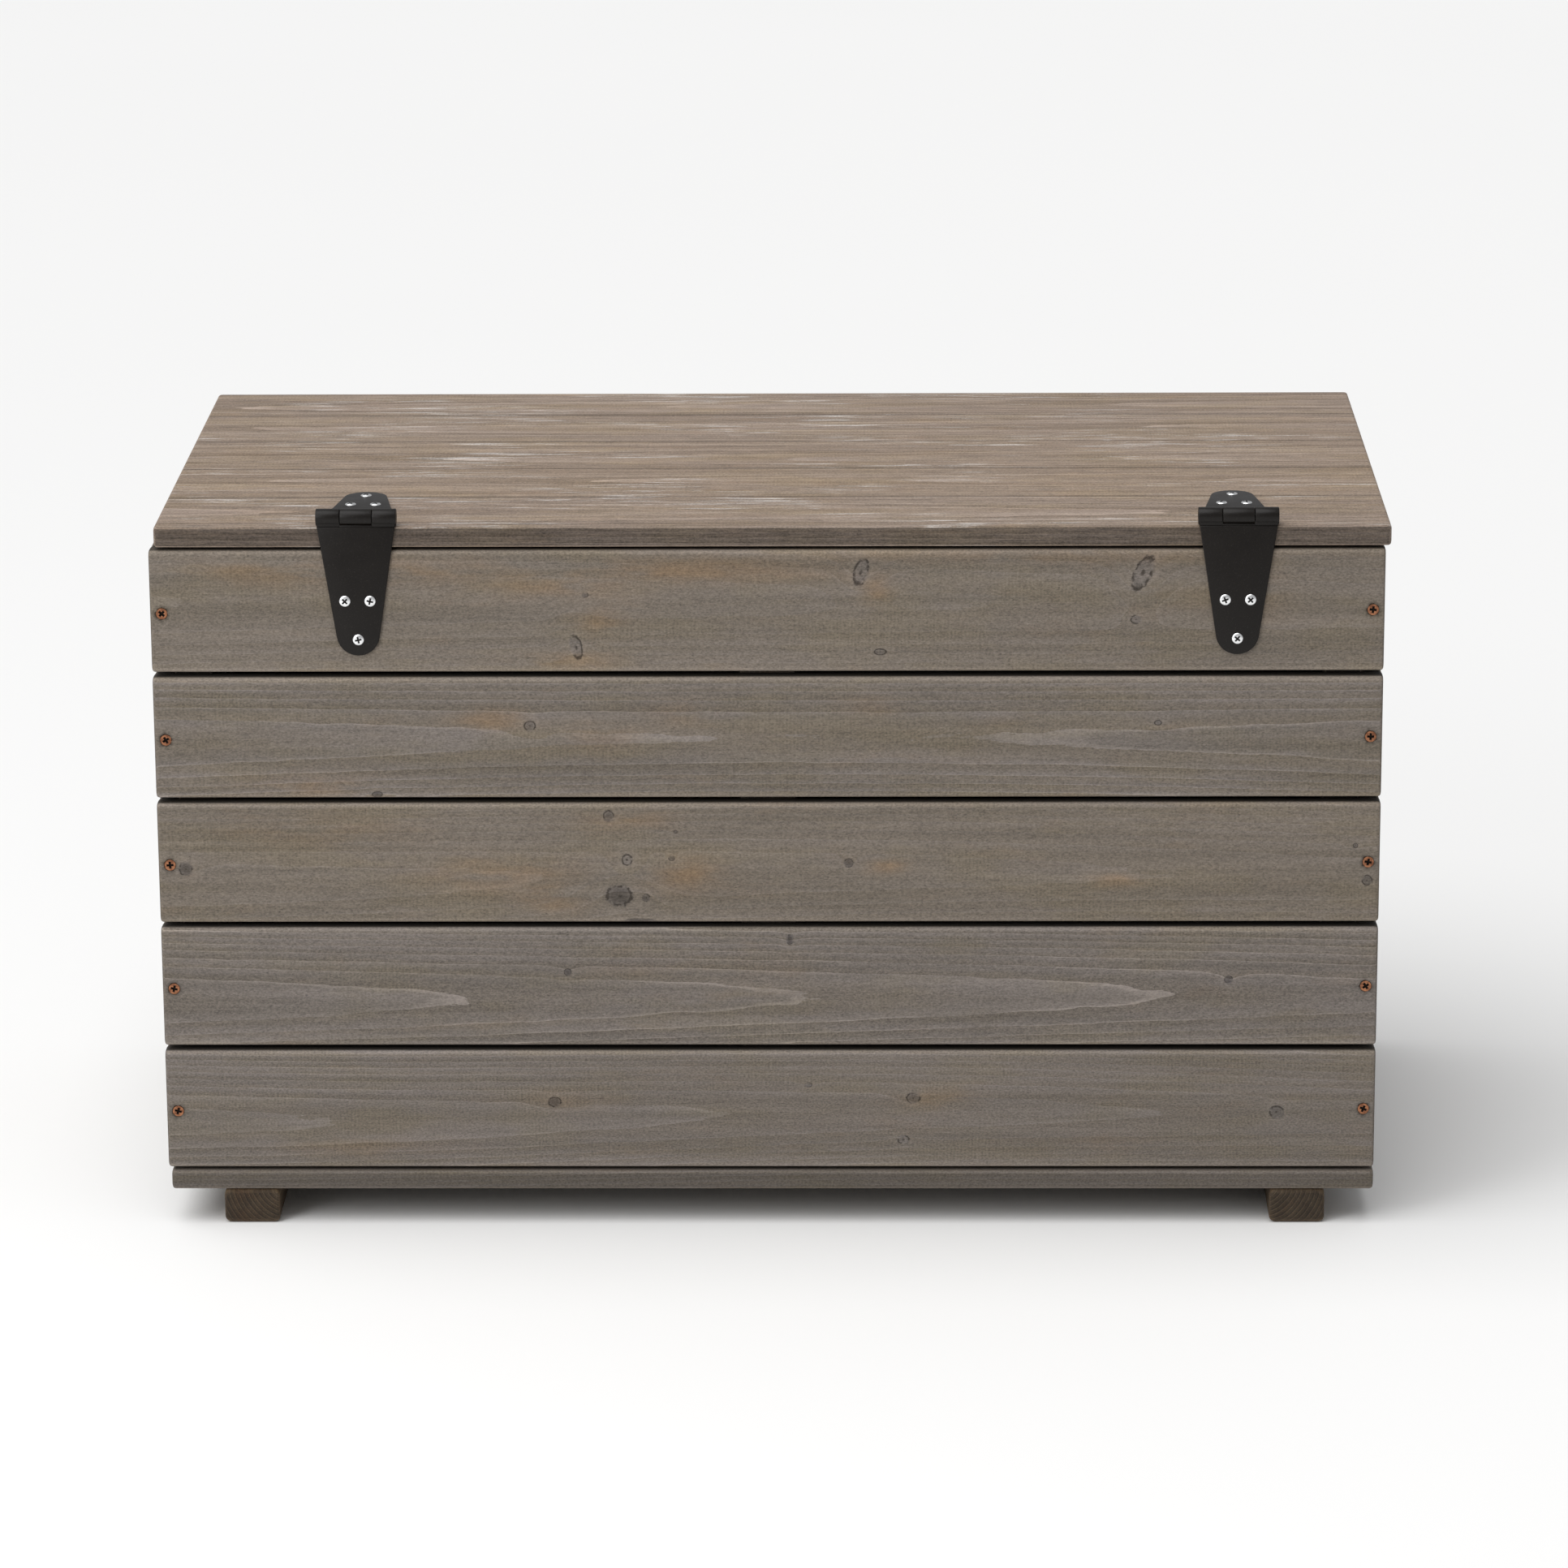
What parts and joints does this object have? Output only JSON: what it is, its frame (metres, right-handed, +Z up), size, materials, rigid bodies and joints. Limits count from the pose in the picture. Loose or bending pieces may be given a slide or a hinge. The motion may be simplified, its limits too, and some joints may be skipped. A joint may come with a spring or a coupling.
{
  "type": "wooden toy box",
  "caption": "Slatted wooden toy box on two runners, with a plank lid on tapered strap hinges and slotted friction stays.",
  "frame": {"origin": "middle of the whole closed box's footprint, on the floor under the runners", "axes": "+X along the box, -Y is the hinge side and +Y the opening side, +Z up"},
  "size_m": [0.904, 0.4672, 0.5487],
  "materials": {
    "wall_board": "grey washed spruce, matt",
    "lid_board": "grey washed spruce with paler streaks, matt",
    "floor_board": "grey washed spruce, matt",
    "batten": "grey washed spruce, matt",
    "runner": "dark washed end grain, matt",
    "black_hinge": "black powder coat, fine texture",
    "zinc_screw": "bright zinc",
    "copper_screw": "copper coloured, satin",
    "yellow_screw": "yellow zinc, satin",
    "stay_steel": "zinc plated, satin"
  },
  "bodies": {
    "chest": {"back_board_1": "wall_board", "back_board_2": "wall_board", "back_board_3": "wall_board", "back_board_4": "wall_board", "back_board_5": "wall_board", "batten_screws": "yellow_screw", "corner_batten_back_left": "batten", "corner_batten_back_right": "batten", "corner_batten_front_left": "batten", "corner_batten_front_right": "batten", "floor_board_1": "floor_board", "floor_board_2": "floor_board", "floor_board_3": "floor_board", "floor_board_4": "floor_board", "floor_board_5": "floor_board", "floor_screws": "yellow_screw", "front_board_1": "wall_board", "front_board_2": "wall_board", "front_board_3": "wall_board", "front_board_4": "wall_board", "front_board_5": "wall_board", "hinge_pin_left": "black_hinge", "hinge_pin_right": "black_hinge", "hinge_strap_left": "black_hinge", "hinge_strap_right": "black_hinge", "hinge_strap_screws": "zinc_screw", "left_board_1": "wall_board", "left_board_2": "wall_board", "left_board_3": "wall_board", "left_board_4": "wall_board", "left_board_5": "wall_board", "mid_batten_back": "batten", "mid_batten_front": "batten", "right_board_1": "wall_board", "right_board_2": "wall_board", "right_board_3": "wall_board", "right_board_4": "wall_board", "right_board_5": "wall_board", "runner_left": "runner", "runner_right": "runner", "stay_slide_screws": "stay_steel", "wall_screws": "copper_screw"},
    "lid": {"hinge_leaf_screws": "zinc_screw", "hinge_lid_leaf_left": "black_hinge", "hinge_lid_leaf_right": "black_hinge", "lid_batten_left": "batten", "lid_batten_right": "batten", "lid_batten_screws": "yellow_screw", "lid_board_1": "lid_board", "lid_board_2": "lid_board", "lid_board_3": "lid_board", "lid_board_4": "lid_board", "lid_board_5": "lid_board", "stay_bracket_left": "stay_steel", "stay_bracket_right": "stay_steel", "stay_bracket_screws": "yellow_screw", "stay_rivets": "stay_steel"},
    "stay_left": {"stay_arm_left": "stay_steel"},
    "stay_right": {"stay_arm_right": "stay_steel"}
  },
  "joints": [
    {"name": "lid_hinge", "type": "hinge", "parent": "chest", "child": "lid", "pos_m": [0, -0.2263, 0.5424], "axis": [1, 0, 0], "range_deg": [0, 95]},
    {"name": "stay_left_pivot", "type": "hinge", "parent": "lid", "child": "stay_left", "pos_m": [-0.432, -0.08011, 0.5088], "axis": [1, 0, 0], "range_deg": [-47.5, 0]},
    {"name": "stay_right_pivot", "type": "hinge", "parent": "lid", "child": "stay_right", "pos_m": [0.428, -0.08011, 0.5088], "axis": [1, 0, 0], "range_deg": [-47.5, 0]}
  ],
  "couplings": [
    {"joint": "stay_left_pivot", "follows": "lid_hinge", "ratio": -0.5},
    {"joint": "stay_right_pivot", "follows": "lid_hinge", "ratio": -0.5}
  ]
}
